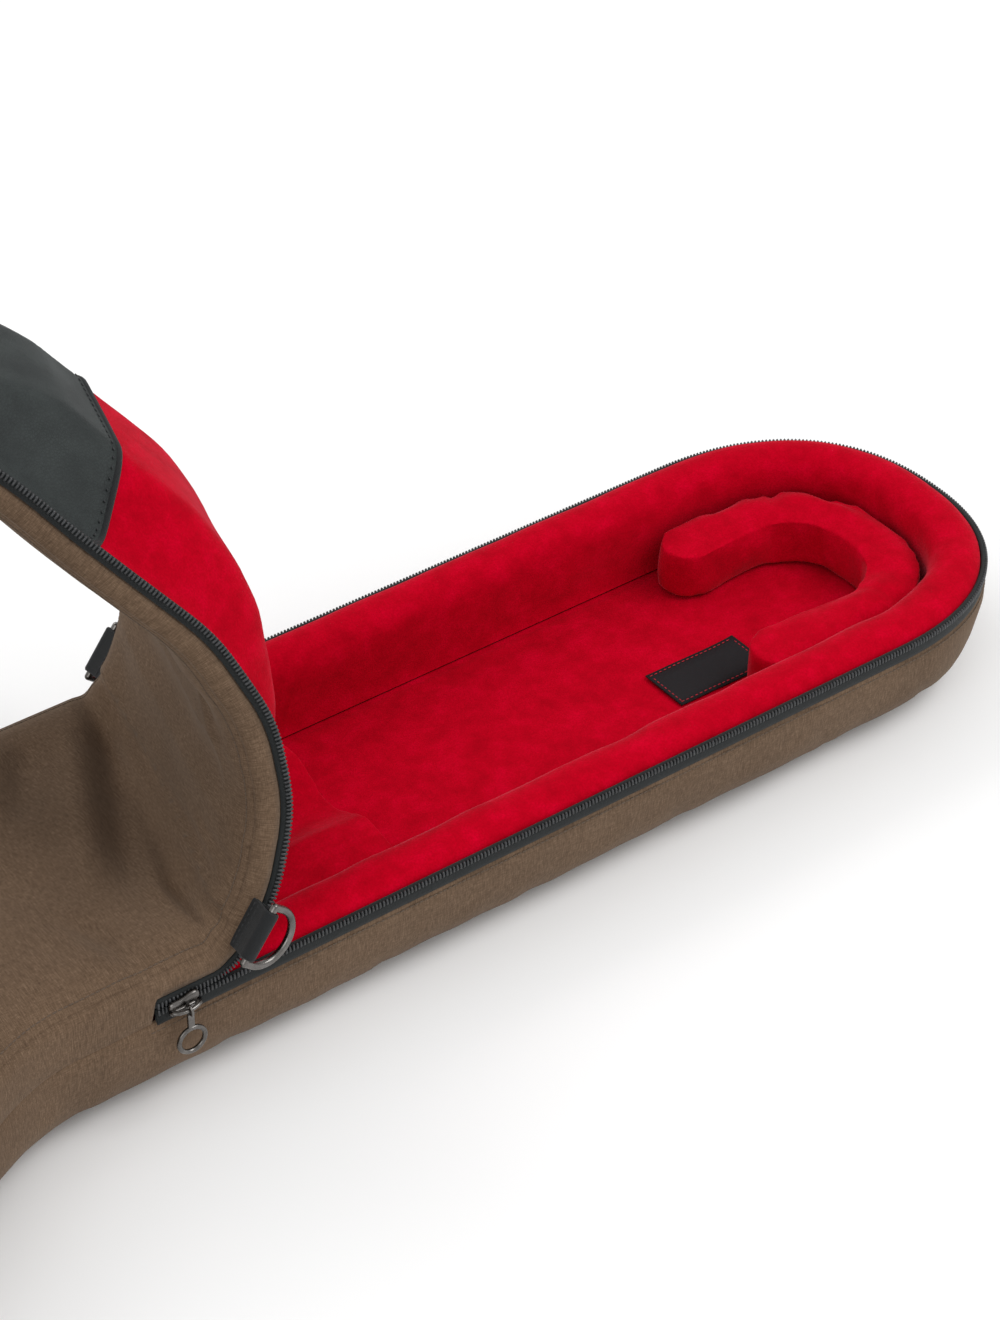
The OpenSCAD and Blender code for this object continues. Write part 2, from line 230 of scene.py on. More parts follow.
def caps(count, total):
    """The two end faces of a tube of points in rings of count."""
    return [tuple(range(count))[::-1], tuple(range(total - count, total))]


def loft(rings, closed_section=False):
    """Points and faces of a surface through rings, each an array of points."""
    rows = list(rings) + ([rings[0]] if closed_section else [])
    points = np.concatenate(rings)
    faces = grid_faces(len(rows), len(rings[0]))
    if closed_section:
        faces = [tuple(i % len(points) for i in f) for f in faces]
    return points, faces


def band(section, count=840):
    """Rings that follow the outline; section is a list of (depth, height)."""
    base, normal = outline(count)
    return [np.column_stack([base - d * normal, np.full(count, float(z))]) for d, z in section]


def filled(rings, middle_x, height, steps):
    """Adds rings from the last one in to the middle line, at heights from a function of x and y."""
    last = rings[-1][:, :2]
    middle = np.column_stack([middle_x, np.zeros(len(last))])
    for k in range(1, steps + 1):
        flat = last + (middle - last) * k / steps
        rings.append(np.column_stack([flat, height(flat[:, 0], flat[:, 1])]))
    return rings


def to_bmesh(points, faces):
    bm = bmesh.new()
    verts = [bm.verts.new(p) for p in points]
    for f in faces:
        bm.faces.new([verts[i] for i in f])
    return bm


def from_bmesh(bm):
    bm.verts.index_update()
    points = np.array([v.co for v in bm.verts])
    faces = [[v.index for v in f.verts] for f in bm.faces]
    bm.free()
    return points, faces


def weld(points, faces, distance=0.02):
    """Merges points that coincide, as along a middle line, and drops the faces this closes up."""
    bm = to_bmesh(points, faces)
    bmesh.ops.remove_doubles(bm, verts=bm.verts, dist=distance)
    bmesh.ops.dissolve_degenerate(bm, edges=bm.edges, dist=distance / 2)
    return from_bmesh(bm)


def beads(places, along, across, size):
    """Small rounded bars at places; size is (length along, half-width across, half-thickness)."""
    out = np.cross(along, across)
    stations = [(-0.5, 0.45), (-0.3, 1), (0.3, 1), (0.5, 0.45)]
    corners = [(math.cos(a), math.sin(a)) for a in np.arange(6) * math.pi / 3]
    points = []
    for s, grow in stations:
        for c, t in corners:
            section = across * c * size[1] + out * t * size[2]
            points.append(places + along * s * size[0] + section * grow)
    count, ring = len(places), len(corners)
    points = np.stack(points, 1).reshape(-1, 3)
    one = grid_faces(len(stations), ring) + caps(ring, ring * len(stations))
    faces = [tuple(i + k * ring * len(stations) for i in f) for k in range(count) for f in one]
    return points, faces


def joined(*parts):
    """Several (points, faces) as one."""
    points, faces, offset = [], [], 0
    for p, f in parts:
        points.append(p)
        faces += [tuple(i + offset for i in face) for face in f]
        offset += len(p)
    return np.concatenate(points), faces


def sweep(path, section, up=UP, closed=False):
    """A tube or strip along a path; section lists (side, up) offsets, or gives them for a share along."""
    path = np.asarray(path, float)
    ahead = np.roll(path, -1, 0) - np.roll(path, 1, 0)
    if not closed:
        ahead[0], ahead[-1] = path[1] - path[0], path[-1] - path[-2]
    ahead = unit(ahead)
    side = unit(np.cross(ahead, up))
    lift = np.cross(side, ahead)
    rings = []
    for k in range(len(path)):
        shape = section(k / (len(path) - 1)) if callable(section) else section
        rings.append(np.array([path[k] + side[k] * a + lift[k] * b for a, b in shape]))
    points, faces = loft(rings, closed)
    return points, faces if closed else faces + caps(len(rings[0]), len(points))


def circle_section(radius, count=10):
    turns = np.arange(count) * 2 * math.pi / count
    return [(radius * math.cos(a), radius * math.sin(a)) for a in turns]


def strip_section(width, thick):
    """Flat webbing with rounded edges."""
    w, t = width / 2, thick / 2
    return [(-w, -t * 0.4), (-w + t, -t), (0, -t), (w - t, -t), (w, -t * 0.4),
            (w, t * 0.4), (w - t, t), (0, t), (-w + t, t), (-w, t * 0.4)]


# ---------- bending the lid ----------

def turn_about(u, h, at, angle):
    """A fold's turn, of points u ahead of the first fold and h above the zipper, about the fold at u = at."""
    c, s = np.cos(angle), np.sin(angle)
    return at + (u - at) * c - h * s, (u - at) * s + h * c


def carried(u, h, count):
    """Through the first count folds, rigidly."""
    for k in reversed(range(count)):
        u, h = turn_about(u, h, AT[k], TURN[k])
    return u, h


def to_row(u, h, v):
    """Points of the bag's frame, from their places across and along the folds."""
    u, h, v = (np.asarray(q, float)[..., None] for q in (u, h, v))
    return v * AXIS + (u + FIRST) * ACROSS + (h + ZIP_Z) * UP


def blend_line(k):
    """Start and end of fold k's blend, as (u, h) before the earlier folds."""
    middle = 12
    end = turn_about(AT[k] + REACH[k], middle, AT[k], TURN[k])
    return np.array([AT[k] - REACH[k], middle]), np.array(end)


def blend_weight(k, u, h):
    """The share of fold k's turn at a flat point, such that its bent place has that same share."""
    start, end = blend_line(k)
    line = (end - start) / ((end - start) @ (end - start))
    low, high = np.zeros(len(u)), np.ones(len(u))
    for _ in range(30):
        w = (low + high) / 2
        bu, bh = turn_about(u, h, AT[k], w * TURN[k])
        more = smooth((bu - start[0]) * line[0] + (bh - start[1]) * line[1]) > w
        low, high = np.where(more, w, low), np.where(more, high, w)
    return (low + high) / 2


def hinged(u, h):
    """Where the folds carry flat points, before the curl is eased."""
    section = np.searchsorted(LIMITS, u + 1e-6) - 1
    place = np.column_stack([u, h]).astype(float)
    for k in range(len(AT)):
        here = section == k
        w = blend_weight(k, u[here], h[here])
        place[here] = np.column_stack(carried(*turn_about(u[here], h[here], AT[k], w * TURN[k]), k))
    return place


# The padding rounds off the corners of the hinged line: each cross-section shifts to a smoothed line.
STATIONS = np.arange(-160, 640)
hinge_line = hinged(STATIONS.astype(float), np.zeros(len(STATIONS)))
spread = np.exp(-(np.arange(-40, 41) / 11.0) ** 2 / 2)
spread /= spread.sum()
EASE = np.stack([np.convolve(column, spread, "same") for column in hinge_line.T], -1) - hinge_line
EASE[:45] = EASE[-45:] = 0


def bent(points):
    """Carries points of the flat, closed lid to where they are on the folded-back lid."""
    v, u, h = points @ AXIS, points @ ACROSS - FIRST, points[:, 2] - ZIP_Z
    place = hinged(u, h) + np.stack([np.interp(u, STATIONS, EASE[:, i]) for i in (0, 1)], -1)
    return to_row(*place.T, v)


def blended(piece, k):
    """Works out where fold k's blend starts and ends, without using it, and bakes the piece's place into its
    mesh.
    """
    start, end = (to_row(*carried(*p, k), 0) * MM for p in blend_line(k))
    tuple(start)
    tuple(end)
    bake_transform(piece)


def lid_layer(name, points, faces, material, suffix, front, front_nodes, slot, padding=None):
    """Bends a flat layer and cuts it at the folds' limits: a piece for each fold, and one for the front."""
    bm = to_bmesh(points, faces)
    for limit in LIMITS:
        bmesh.ops.bisect_plane(bm, geom=bm.verts[:] + bm.edges[:] + bm.faces[:], dist=1e-3,
                               plane_co=Vector((FIRST + limit) * ACROSS), plane_no=Vector(ACROSS))
    flat, faces = from_bmesh(bm)
    place = bent(flat)
    whole = bpy.data.meshes.new("whole")
    whole.from_pydata((place * MM).tolist(), [], faces)
    whole.validate()
    normals = vertices(whole, True)
    bpy.data.meshes.remove(whole)
    middle = np.array([flat[f].mean(0) for f in faces]) @ ACROSS - FIRST
    section = np.searchsorted(LIMITS, middle) - 1
    pieces = []
    for k in range(-1, len(AT)):
        mine = [faces[i] for i in np.flatnonzero(section == k)]
        if not mine:
            continue
        used = np.unique(np.concatenate(mine))
        index = np.full(len(flat), -1)
        index[used] = np.arange(len(used))
        title = front if k < 0 else f"lid_{k + 1}_{name}_piece"
        piece = make_mesh(title, place[used], [[index[i] for i in f] for f in mine], material,
                          flat[used], normals[used])
        if k < 0:
            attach(piece, "bag")
            if front_nodes:
                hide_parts(*front_nodes)
        else:
            blended(piece, k)
            if suffix:
                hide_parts(f"lid_{k + 1}_{suffix}")
        pieces.append(piece)
    return pieces


# ---------- materials ----------

class Nodes:
    """Short calls for building one material's nodes."""

    def __init__(self, name, bent_piece=True):
        self.material = bpy.data.materials.new(name)
        self.material.use_nodes = True
        self.tree = self.material.node_tree
        self.shader = self.tree.nodes["Principled BSDF"]
        if bent_piece:
            self.place = self.node("Attribute", {}, "Vector", attribute_name="flat")
        else:
            self.place = self.node("TexCoord", {}, "Object")

    def feed(self, socket, value):
        """Links a socket to another one, or sets its value."""
        if isinstance(value, bpy.types.NodeSocket):
            self.tree.links.new(value, socket)
        else:
            socket.default_value = value

    def node(self, kind, inputs, output=0, **settings):
        node = self.tree.nodes.new("ShaderNode" + kind)
        for name, value in settings.items():
            setattr(node, name, value)
        for name, value in inputs.items():
            self.feed(node.inputs[name], value)
        return node.outputs[output]

    def scaled(self, scale):
        scale = scale if isinstance(scale, tuple) else (scale,) * 3
        return self.node("Mapping", {"Vector": self.place, "Scale": scale}, "Vector")

    def noise(self, scale, detail=2.0, roughness=0.5):
        inputs = {"Vector": self.scaled(scale), "Scale": 1.0, "Detail": detail, "Roughness": roughness}
        return self.node("TexNoise", inputs, "Fac")

    def wave(self, scale, direction):
        inputs = {"Vector": self.scaled(scale), "Scale": 1.0}
        return self.node("TexWave", inputs, "Fac", bands_direction=direction)

    def math(self, operation, a, b):
        return self.node("Math", {0: a, 1: b}, operation=operation)

    def ramp(self, value, stops):
        """Colours by value; a stop's colour may be one number, for a grey."""
        node = self.tree.nodes.new("ShaderNodeValToRGB")
        while len(node.color_ramp.elements) < len(stops):
            node.color_ramp.elements.new(0.5)
        for element, (position, colour) in zip(node.color_ramp.elements, stops):
            element.position = position
            element.color = (*(colour if isinstance(colour, tuple) else (colour,) * 3), 1)
        self.feed(node.inputs["Fac"], value)
        return node.outputs["Color"]

    def mix(self, share, a, b, kind="MIX"):
        a, b = ((*c, 1) if isinstance(c, tuple) else c for c in (a, b))
        return self.node("Mix", {0: share, 6: a, 7: b}, 2, data_type="RGBA", blend_type=kind)

    def bump(self, height, distance, strength, before=None):
        inputs = {"Distance": distance * MM, "Strength": strength, "Height": height}
        if before is not None:
            inputs["Normal"] = before
        normal = self.node("Bump", inputs, "Normal")
        self.set(Normal=normal)
        return normal

    def set(self, **values):
        for name, value in values.items():
            self.feed(self.shader.inputs[name.replace("_", " ")], value)

    def colour(self, value):
        self.set(Base_Color=value)


def melange_fabric():
    n = Nodes("outer_fabric")
    warp = n.noise((330, 2600, 2600), 3)
    weft = n.noise((2600, 260, 260), 3)
    yarn = n.math("ADD", n.math("MULTIPLY", warp, 0.42), n.math("MULTIPLY", weft, 0.58))
    fleck = n.noise(900, 2, 0.7)
    tone = n.ramp(yarn, [(0.33, (0.072, 0.045, 0.028)), (0.47, (0.112, 0.071, 0.044)),
                         (0.55, (0.136, 0.088, 0.056)), (0.68, (0.186, 0.125, 0.082))])
    tone = n.mix(n.ramp(fleck, [(0.5, 0), (0.75, 0.4)]), tone, (0.070, 0.044, 0.028))
    worn = n.ramp(n.noise(14, 3), [(0.3, (0.86, 0.85, 0.84)), (0.7, (1.08, 1.07, 1.05))])
    n.colour(n.mix(1.0, tone, worn, "MULTIPLY"))
    n.set(Roughness=0.92, Specular_IOR_Level=0.15, Sheen_Weight=0.08, Sheen_Roughness=0.5,
          Sheen_Tint=(1.0, 0.85, 0.7, 1))
    first = n.bump(yarn, 0.25, 0.4)
    n.bump(n.noise(40, 3), 0.6, 0.35, first)
    return n.material


def plush():
    n = Nodes("plush")
    pile = n.noise(900, 3, 0.6)
    nap = n.noise(75, 4, 0.65)
    tone = n.ramp(nap, [(0.30, (0.36, 0.0, 0.008)), (0.50, (0.45, 0.0, 0.011)), (0.72, (0.55, 0.0, 0.018))])
    n.colour(n.mix(n.ramp(pile, [(0.4, 0), (0.62, 0.4)]), tone, (0.29, 0.0, 0.006)))
    n.set(Roughness=0.95, Specular_IOR_Level=0.03, Sheen_Weight=0.28, Sheen_Roughness=0.3,
          Sheen_Tint=(1.0, 0.22, 0.30, 1))
    first = n.bump(nap, 1.0, 0.3)
    n.bump(pile, 0.5, 0.6, first)
    return n.material


def tape_weave(name, base, rib):
    n = Nodes(name)
    ribs = n.wave((rib, rib, rib * 0.2), "X")
    rows = n.noise((2200, 2200, 500), 2)
    weave = n.math("ADD", n.math("MULTIPLY", ribs, 0.5), n.math("MULTIPLY", rows, 0.5))
    n.colour(n.ramp(weave, [(0.2, tuple(0.5 * c for c in base)), (0.8, tuple(1.7 * c for c in base))]))
    n.set(Roughness=0.8, Specular_IOR_Level=0.3, Sheen_Weight=0.08)
    n.bump(weave, 0.3, 0.6)
    return n.material


def teeth_plastic():
    n = Nodes("zipper_teeth")
    n.colour(n.ramp(n.noise(400), [(0.3, (0.012, 0.013, 0.014)), (0.7, (0.035, 0.037, 0.04))]))
    n.set(Roughness=0.38, Specular_IOR_Level=0.5)
    n.bump(n.noise(1500), 0.05, 0.4)
    return n.material


def gunmetal():
    n = Nodes("gunmetal", False)
    scratch = n.noise((300, 2500, 2500), 4, 0.7)
    n.colour(n.ramp(n.noise(120, 3), [(0.3, (0.105, 0.098, 0.092)), (0.7, (0.20, 0.19, 0.18))]))
    rough = n.ramp(scratch, [(0.3, 0.16), (0.75, 0.38)])
    n.set(Metallic=1.0, Roughness=rough)
    n.bump(scratch, 0.04, 0.35)
    return n.material


def wear_leather():
    n = Nodes("wear_panel")
    cells = n.node("TexVoronoi", {"Vector": n.place, "Scale": 700}, "Distance", feature="DISTANCE_TO_EDGE")
    grain = n.ramp(cells, [(0.0, 0), (0.18, 1)])
    cloud = n.noise(45, 4, 0.6)
    tone = n.ramp(cloud, [(0.3, (0.010, 0.014, 0.014)), (0.7, (0.026, 0.033, 0.032))])
    n.colour(n.mix(0.35, tone, grain, "MULTIPLY"))
    n.set(Roughness=0.6, Specular_IOR_Level=0.28)
    first = n.bump(grain, 0.18, 0.5)
    n.bump(cloud, 0.9, 0.4, first)
    return n.material


def label_satin():
    n = Nodes("label")
    weave = n.wave(1400, "Y")
    n.colour(n.ramp(weave, [(0.2, (0.004, 0.004, 0.005)), (0.8, (0.011, 0.011, 0.013))]))
    n.set(Roughness=0.62, Specular_IOR_Level=0.2)
    n.bump(weave, 0.1, 0.5)
    return n.material


def thread(name, colour):
    n = Nodes(name)
    twist = n.noise(1600, 2)
    n.colour(n.ramp(twist, [(0.3, tuple(0.6 * c for c in colour)), (0.7, colour)]))
    n.set(Roughness=0.7)
    n.bump(twist, 0.1, 0.5)
    return n.material


FABRIC = melange_fabric()
PLUSH = plush()
TAPE = tape_weave("zipper_tape", (0.0065, 0.0085, 0.0088), 900)
WEBBING = tape_weave("webbing", (0.009, 0.010, 0.011), 1500)
GRIP = tape_weave("grip", (0.012, 0.012, 0.013), 700)
TEETH = teeth_plastic()
METAL = gunmetal()
LEATHER = wear_leather()
LABEL = label_satin()
TAN_THREAD = thread("tan_thread", (0.115, 0.076, 0.048))
BLACK_THREAD = thread("black_thread", (0.02, 0.021, 0.023))
RED_THREAD = thread("red_thread", (0.45, 0.005, 0.02))


# ---------- tray ----------

def tray_side():
    """Outer fabric from the zipper tape down round the padded lower edge."""
    turn = np.radians(np.arange(84, -1, -7))
    arc = [(EDGE_R - EDGE_R * math.sin(a), EDGE_R - EDGE_R * math.cos(a)) for a in turn]
    section = [(1.4, 54.6), (0.2, 54.2), (-0.3, 52.5), (-0.9, 49), (-1.3, 44)] + arc + [(EDGE_R + 3, 0.3)]
    rings = band(section)
    base, normal = outline(len(rings[0]))
    for k, ring in enumerate(rings):
        share = math.sin(math.pi * min(1, (k + 1) / len(rings)))
        x, height = base[:, 0], ring[:, 2].copy()
        wave = ripple(x, base[:, 1] + 3 * height, 130, 3) * 0.9 + ripple(x, height, 42, 4) * 0.3
        pleat = np.mod(x + 0.7 * height + 9 * ripple(x, 0, 200, 5), 88) - 44
        wave -= 0.9 * np.exp(-pleat ** 2 / 30)
        ring[:, :2] += normal * (wave * share)[:, None]
    piece = make_mesh("tray_side_fabric", *loft(rings), FABRIC)
    fitted(piece, "bag", ["side_gusset", "side_foam"])


def tray_back():
    """Flat back panel under the bag, with its seam and sewn channels."""
    def height(x, y):
        channel = np.exp(-((np.mod(x + 1000, 125) - 62.5) / 4) ** 2)
        return 0.2 + 1.3 * channel * smooth((edge_depth(x, y) - 60) / 20)
    hem = [(1.5, 1.8), (2.5, 0.7), (4, 0.1), (8, 0.0), (14, 0.1)]
    rings = band([(EDGE_R + inset, z) for inset, z in hem], 600)
    rings = filled(rings, centre_line(rings[0][:, 0]), height, 20)
    piece = make_mesh("back_panel_fabric", *weld(*loft(rings)), FABRIC)
    piece.data.flip_normals()
    fitted(piece, "bag", ["back_panel"])


def open_band(section, count=840):
    """A closed section's band that runs only where the zipper does, with square, capped ends."""
    base, normal = outline(count)
    keep = np.flatnonzero(base[:, 0] > ZIP_START)
    order = np.concatenate([keep[keep >= count // 2], keep[keep < count // 2]])
    rings = []
    for d, z in section:
        ring = np.column_stack([base - d * normal, np.full(count, float(z))])[order]
        ring[0, 0] = ring[-1, 0] = ZIP_START
        rings.append(ring)
    n, last = len(order), len(section) * len(order)
    faces = [tuple(i % last for i in f) for f in grid_faces(len(section) + 1, n, closed=False)]
    ends = [tuple(range(0, last, n)), tuple(range(n - 1, last, n))[::-1]]
    return np.concatenate(rings), faces + ends


def tooth_row(z, out=1.0, pitch=2.0):
    """The zipper's teeth at height z, along the outline ahead of its start."""
    base, normal = outline(6000)
    order = np.concatenate([np.arange(3000, 6000), np.arange(0, 3000)])
    base, normal = base[order], normal[order]
    steps = np.concatenate([[0], np.cumsum(np.linalg.norm(np.diff(base, axis=0), axis=1))])
    keep = base[:, 0] > ZIP_START + 1
    spots = np.arange(steps[keep][0], steps[keep][-1], pitch)
    base, normal = (np.stack([np.interp(spots, steps, column) for column in line.T], -1)
                    for line in (base, normal))
    outward = np.column_stack([unit(normal), 0 * spots])
    places = np.column_stack([base, 0 * spots + z]) + outward * out
    down = np.tile(-UP, (len(spots), 1))
    return beads(places, down, np.cross(down, outward), TOOTH)


def tray_zipper():
    section = [(1.6, 61.2), (0.4, 61.8), (-0.5, 61.2), (-0.8, 58), (-1.0, 55), (-0.9, 53.0), (-0.4, 52.6),
               (0.6, 54.5), (1.2, 58)]
    piece = make_mesh("tray_zipper_tape", *open_band(section), TAPE)
    fitted(piece, "bag", ["tray_tape"])
    teeth = make_mesh("tray_zipper_teeth", *tooth_row(ZIP_Z - 1.9), TEETH)
    fitted(teeth, "bag", ["tray_teeth"])


def tray_lining():
    """Plush crown inside the zipper and the wall below it."""
    section = [(2.0, 59.5), (2.4, 62.0), (4.0, 64.2), (7.0, 66.4), (11, 67.5), (15, 67.8), (19, 67.3),
               (23, 65.9), (26.2, 63.4), (28.0, 59.8), (28.6, 55), (28.6, 48), (28.4, 40), (28.2, 32),
               (28.4, 26), (29.5, 22.4)]
    rings = band(section)
    base, normal = outline(len(rings[0]))
    for k, ring in enumerate(rings):
        share = math.sin(math.pi * k / (len(rings) - 1)) ** 0.7
        along = np.arange(len(base)) * 3.9
        wave = ripple(along, 2.0 * ring[:, 2] + 2 * section[k][0], 90, 7) * 0.8
        wave += ripple(along, 3 * ring[:, 2], 34, 8) * 0.35
        inward = min(1, section[k][0] / 28)
        ring[:, :2] -= normal * (wave * share * inward)[:, None]
        ring[:, 2] += wave * share * (1 - inward) * 0.8
    piece = make_mesh("tray_wall_plush", *loft(rings), PLUSH)
    piece.data.flip_normals()
    fitted(piece, "bag", ["wall_lining"])


def tray_floor():
    def height(x, y):
        return FLOOR_Z - 0.8 + 0.9 * smooth((edge_depth(x, y) - 34) / 16) + 0.35 * ripple(x, y, 110, 9)
    rings = band([(28.6, 21.0), (30, 20.0), (32.5, 20.6), (36, 21.3)], 600)
    rings = filled(rings, centre_line(rings[0][:, 0]), height, 24)
    piece = make_mesh("tray_floor_plush", *weld(*loft(rings)), PLUSH)
    fitted(piece, "bag", ["floor_lining", "back_foam"])


# ---------- lid and fixed front ----------

# Soft folds in the front's fabric beside the first fold: start, end, width and depth.
CREASES = [((288, -60), (196, -88), 4, 1.2), ((166, 80), (96, -60), 9, 5.5),
           ((182, 60), (158, -90), 6, 3.4), ((122, -40), (125, -92), 4, 2.2),
           ((178, -44), (170, -94), 4, 1.8), ((70, -40), (82, -96), 6, 2.4), ((120, 80), (84, 20), 7, 2.0)]


def crease(x, y, start, end, width, depth):
    """A valley along a line between two points of the flat lid, with a soft ridge beside it."""
    start, end = np.array(start, float), np.array(end, float)
    line = end - start
    length = np.linalg.norm(line)
    t = ((x - start[0]) * line[0] + (y - start[1]) * line[1]) / length ** 2
    off = ((x - start[0]) * line[1] - (y - start[1]) * line[0]) / length
    fade = smooth(t / 0.25) * smooth((1 - t) / 0.3)
    ridge = 0.55 * np.exp(-(off / width - 1.9) ** 2)
    return -depth * fade * (np.exp(-(off / width) ** 2) - ridge)


def ahead_of_fold(x, y):
    """How far a place on the flat lid is past the first fold."""
    return x * ACROSS[0] + y * ACROSS[1] - FIRST


def top_height(x, y):
    """Height of the outer fabric of the lid and the fixed front."""
    depth = edge_depth(x, y)
    u = ahead_of_fold(x, y)
    z = LID_TOP - 0.3 - 9.5 * np.exp(-(np.clip(depth, 2, None) - 4) / 14)
    z = z - (9 * np.exp(-(u / 28) ** 2) + 5 * np.exp(-((u + 55) / 42) ** 2)) * smooth((depth - 5) / 40)
    for k in range(1, len(AT)):
        z = z - 2.6 * np.exp(-((u - AT[k]) / 14) ** 2) * smooth((depth - 5) / 30)
    z = z + (0.7 * ripple(x, y, 150, 11) + 0.3 * ripple(x, y, 55, 12)) * smooth((depth - 3) / 12)
    for item in CREASES:
        z = z + crease(x, y, *item)
    return z


def lid_cover():
    """Outer fabric: the welt above the zipper tape, the seam, and the padded panel inside it."""
    count = 880
    base, normal = outline(count)
    foot = np.where(base[:, 0] > ZIP_START, ZIP_Z + 5.0, ZIP_Z - 8.2)
    section = [(0.4, 0), (-0.5, 2.0), (-0.9, 68.5), (-0.9, 72), (-0.4, 75.5), (0.8, 78.2), (2.4, 79.2),
               (3.1, 78.9), (3.5, 79.9)] + [(d, None) for d in (5, 7.5, 11, 16, 24)]
    rings = []
    for k, (d, z) in enumerate(section):
        flat = base - d * normal
        height = top_height(*flat.T) if z is None else foot + z if k < 2 else np.full(count, float(z))
        if k == 2:
            height = np.where(base[:, 0] > ZIP_START, height, 63.0)
        rings.append(np.column_stack([flat, height]))
    rings = filled(rings, centre_line(base[:, 0]), top_height, 26)
    points, faces = weld(*loft(rings))
    lid_layer("cover", points, faces, FABRIC, "shell", "front_cover",
              ("front_shell", "front_gusset", "front_foam"), "outer_fabric", 0.85)


def lining_height(x, y):
    """Height of the plush under the lid: recessed over the tray's crown, and bulging down between."""
    depth = edge_depth(x, y)
    u = ahead_of_fold(x, y)
    bulge = 5 + (11 * smooth((u - 5) / 60) + 4 * smooth((u - 105) / 50)) * smooth((300 - u) / 60)
    bulge = np.where(x < 60, 2, bulge)
    z = ZIP_Z + 8.9 - (8.9 + bulge) * smooth((depth - 25) / 48)
    return z + 0.5 * ripple(x, y, 90, 21) * smooth((depth - 20) / 20)


def lid_lining():
    count = 640
    section = [(10.5, 71.4), (11.5, 70.6), (14, 70.6), (18, 70.9), (22, 70.9), (26, 70.8)]
    rings = band(section, count)
    base, _ = outline(count)
    rings = filled(rings, centre_line(base[:, 0]), lining_height, 24)
    points, faces = weld(*loft(rings))
    for piece in lid_layer("lining", points, faces, PLUSH, "pad", "front_lining_plush", ("front_lining",),
                           "plush", 0.6):
        piece.data.flip_normals()


def lid_zipper():
    section = [(-0.6, 67.8), (-0.9, 66), (-0.6, 63.2), (0.4, 62.4), (1.8, 63.2), (4.5, 66.2), (8, 68.9),
               (12.5, 71.2), (12.0, 71.9), (7.5, 69.8), (3.5, 67.2), (1.2, 67.6)]
    lid_layer("tape", *open_band(section), TAPE, "tape", "front_zipper_tape", (), "zipper_tape")
    lid_layer("teeth", *tooth_row(ZIP_Z + 1.9), TEETH, None, "front_zipper_teeth", (), "zipper_teeth")


# ---------- padded pieces made by cloth simulation ----------

def applied(piece):
    """Replaces the piece's mesh by what its modifiers make of it."""
    graph = bpy.context.evaluated_depsgraph_get()
    mesh = bpy.data.meshes.new_from_object(piece.evaluated_get(graph))
    piece.modifiers.clear()
    piece.data = mesh


def vertices(mesh, normals=False):
    values = np.zeros(len(mesh.vertices) * 3, np.float32)
    if normals:
        mesh.vertex_normals.foreach_get("vector", values)
    else:
        mesh.vertices.foreach_get("co", values)
    return values.reshape(-1, 3).astype(float)


def inflated(name, node, material, shrink=2.0, voxel=4.5, cap=5.0, pressure=4.0, frames=20):
    """A stuffed piece: the CAD solid, remeshed, a little smaller, and swollen by pressure as cloth."""
    piece = placed(name, frame["nodes"][node].data.copy())
    remesh = piece.modifiers.new("remesh", "REMESH")
    remesh.mode = "VOXEL"
    remesh.voxel_size = voxel * MM
    applied(piece)
    start = vertices(piece.data) - vertices(piece.data, True) * shrink * MM
    set_vertices(piece.data, start)
    cloth = piece.modifiers.new("cloth", "CLOTH")
    cloth.settings.use_pressure = True
    cloth.settings.uniform_pressure_force = pressure
    cloth.settings.effector_weights.gravity = 0
    cloth.settings.quality = 4
    cloth.point_cache.frame_start, cloth.point_cache.frame_end = 1, frames
    for step in range(1, frames + 1):
        bpy.context.scene.frame_set(step)
    graph = bpy.context.evaluated_depsgraph_get()
    moved = vertices(piece.evaluated_get(graph).data) - start
    piece.modifiers.clear()
    bpy.context.scene.frame_set(1)
    length = np.linalg.norm(moved, axis=1)[:, None]
    start = start + moved * np.minimum(1, cap * MM / np.maximum(length, 1e-9))
    set_vertices(piece.data, start)
    dress(piece.data, material, start)
    subdivision = piece.modifiers.new("subdivision", "SUBSURF")
    subdivision.levels = subdivision.render_levels = 1
    return piece


def set_vertices(mesh, values):
    mesh.vertices.foreach_set("co", values.astype(np.float32).ravel())


def dented(piece, depth_at):
    """Moves a piece's points inwards along their normals by depth_at(points), in millimetres."""
    place = vertices(piece.data)
    place -= vertices(piece.data, True) * (depth_at(place / MM) * MM)[:, None]
    set_vertices(piece.data, place)
    piece.data.update()


def bolster():
    """Headstock bolster: a stuffed U of plush with gathered corners near its top edge."""
    piece = inflated("headstock_bolster_plush", "headstock_bolster", PLUSH, 2.0, 4.0, 4.5)

    def gathers(p):
        top = smooth((p[:, 2] - 30) / 14)
        dent = 0.5 * ripple(p[:, 0] + p[:, 2], p[:, 1], 38, 31)
        for x, y, lean in ((572, 62, 0.5), (590, 40, -0.2), (600, -30, 0.3), (566, -66, -0.5)):
            off = (p[:, 0] - x) * math.cos(lean) - (p[:, 1] - y) * math.sin(lean)
            reach = np.exp(-(((p[:, 0] - x) ** 2 + (p[:, 1] - y) ** 2) / 26 ** 2))
            dent = dent + 3.2 * np.exp(-(off / 2.6) ** 2) * reach * top
        return dent

    dented(piece, gathers)
    fitted(piece, "bolster", ["headstock_bolster"])


def cradle():
    """Neck cradle: a low stuffed pad, hollowed for the neck."""
    piece = inflated("neck_cradle_plush", "neck_cradle", PLUSH, 2.0, 4.0, 4.0)
    dented(piece, lambda p: 0.6 * ripple(p[:, 0], p[:, 1], 46, 33))
    fitted(piece, "cradle", ["neck_cradle"])


